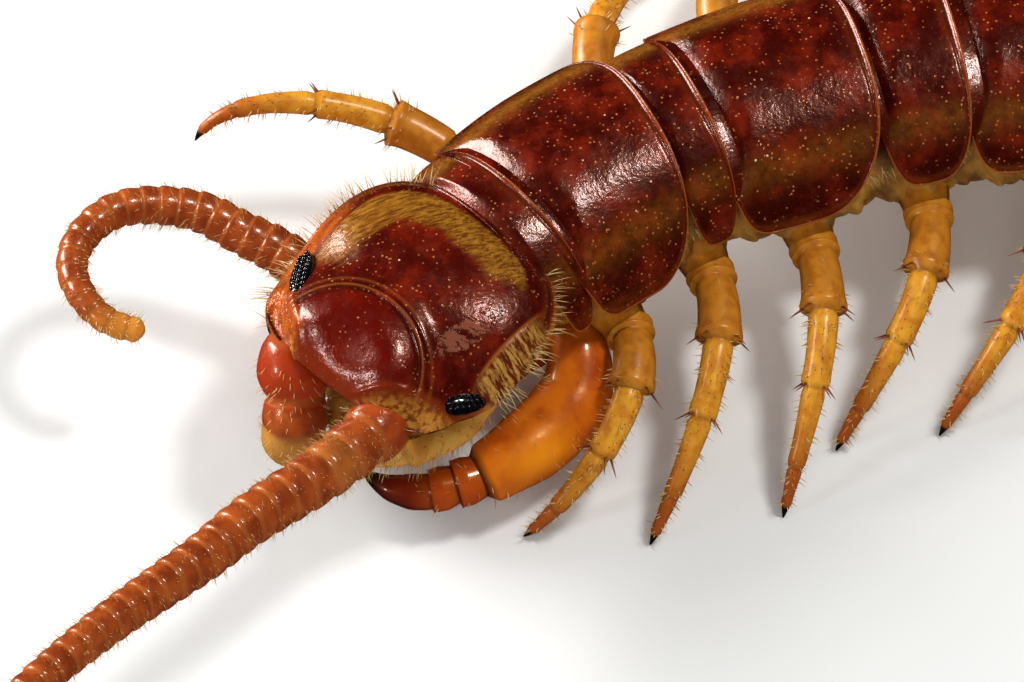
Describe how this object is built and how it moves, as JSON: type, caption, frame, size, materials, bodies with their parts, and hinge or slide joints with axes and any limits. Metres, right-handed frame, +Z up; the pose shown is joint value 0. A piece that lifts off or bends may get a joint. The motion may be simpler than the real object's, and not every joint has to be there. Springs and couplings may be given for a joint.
{
  "type": "brown centipede",
  "caption": "Life-size still model of a brown stone centipede standing on its legs, head turned to its left, one feeler ahead and one curled at its side.",
  "frame": {"origin": "on the floor, under the middle of the model's bounding box", "axes": "+Z up, the animal's front toward -Y, its left side toward +X"},
  "size_m": [0.017, 0.0434, 0.0049],
  "materials": {
    "shell": "glossy dark chestnut shell plates with fine pits and orange-brown rims",
    "claw": "glossy amber, redder toward the black tips",
    "leg": "satin yellow-amber skin with dark claws and pale bristles",
    "antenna": "satin orange-brown rings with yellow tips and fine down",
    "eye": "glossy black lenses"
  },
  "bodies": {
    "root": {"head": "shell", "eye_left": "eye", "eye_right": "eye", "antenna_left_base": "antenna", "antenna_left_tip": "antenna", "antenna_right_base": "antenna", "antenna_right_bend": "antenna", "antenna_right_tip": "antenna", "claw_plate": "claw", "poison_claw_left": "claw", "poison_claw_right": "claw", "palp_left": "claw", "palp_right": "claw", "trunk_1_to_4": "shell", "trunk_5_to_8": "shell", "trunk_9_to_12": "shell", "trunk_13_to_15": "shell", "tail_end": "shell", "leg_left_01": "leg", "leg_left_02": "leg", "leg_left_03": "leg", "leg_left_04": "leg", "leg_left_05": "leg", "leg_left_06": "leg", "leg_left_07": "leg", "leg_left_08": "leg", "leg_left_09": "leg", "leg_left_10": "leg", "leg_left_11": "leg", "leg_left_12": "leg", "leg_left_13": "leg", "leg_left_14": "leg", "leg_left_15": "leg", "leg_right_01": "leg", "leg_right_02": "leg", "leg_right_03": "leg", "leg_right_04": "leg", "leg_right_05": "leg", "leg_right_06": "leg", "leg_right_07": "leg", "leg_right_08": "leg", "leg_right_09": "leg", "leg_right_10": "leg", "leg_right_11": "leg", "leg_right_12": "leg", "leg_right_13": "leg", "leg_right_14": "leg", "leg_right_15": "leg"}
  },
  "joints": []
}
